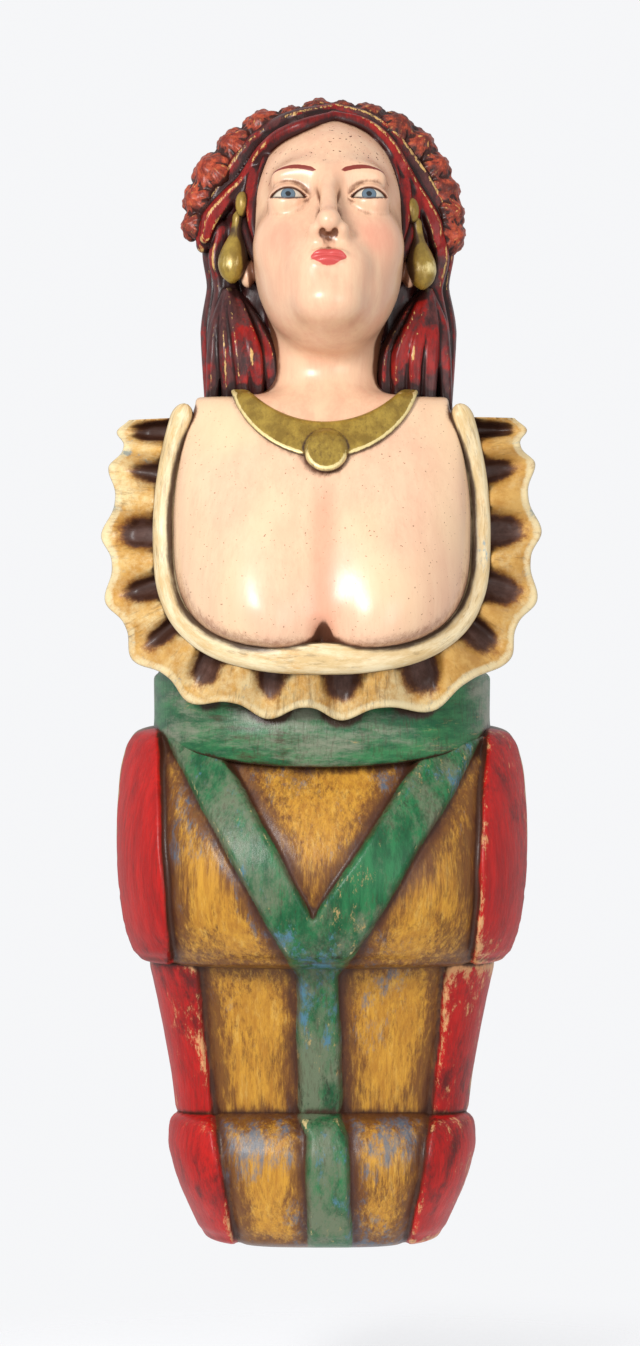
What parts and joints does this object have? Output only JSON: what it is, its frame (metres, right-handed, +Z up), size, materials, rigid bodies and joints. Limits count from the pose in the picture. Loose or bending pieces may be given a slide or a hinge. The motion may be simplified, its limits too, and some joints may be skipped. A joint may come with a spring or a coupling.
{
  "type": "ship figurehead",
  "caption": "Carved and painted wooden ship's figurehead: a half-length woman with a flower wreath, frilled bodice and rolled skirt end, with a flat back for fixing.",
  "frame": {"origin": "middle of the flat back, at the level of the upper skirt roll", "axes": "+Z up along the figure, +Y out of the flat back, so the figure faces -Y, +X to the viewer's right"},
  "size_m": [0.3432, 0.2279, 0.9039],
  "materials": {
    "painted_wood": "satin",
    "flesh_paint": "gloss",
    "hair_paint": "satin",
    "gold_paint": "satin",
    "cream_paint": "satin",
    "green_paint": "satin",
    "red_paint": "satin",
    "ochre_paint": "satin",
    "flower_paint": "satin",
    "bare_wood": "matte"
  },
  "bodies": {
    "root": {"figurehead": "painted_wood"}
  },
  "joints": []
}
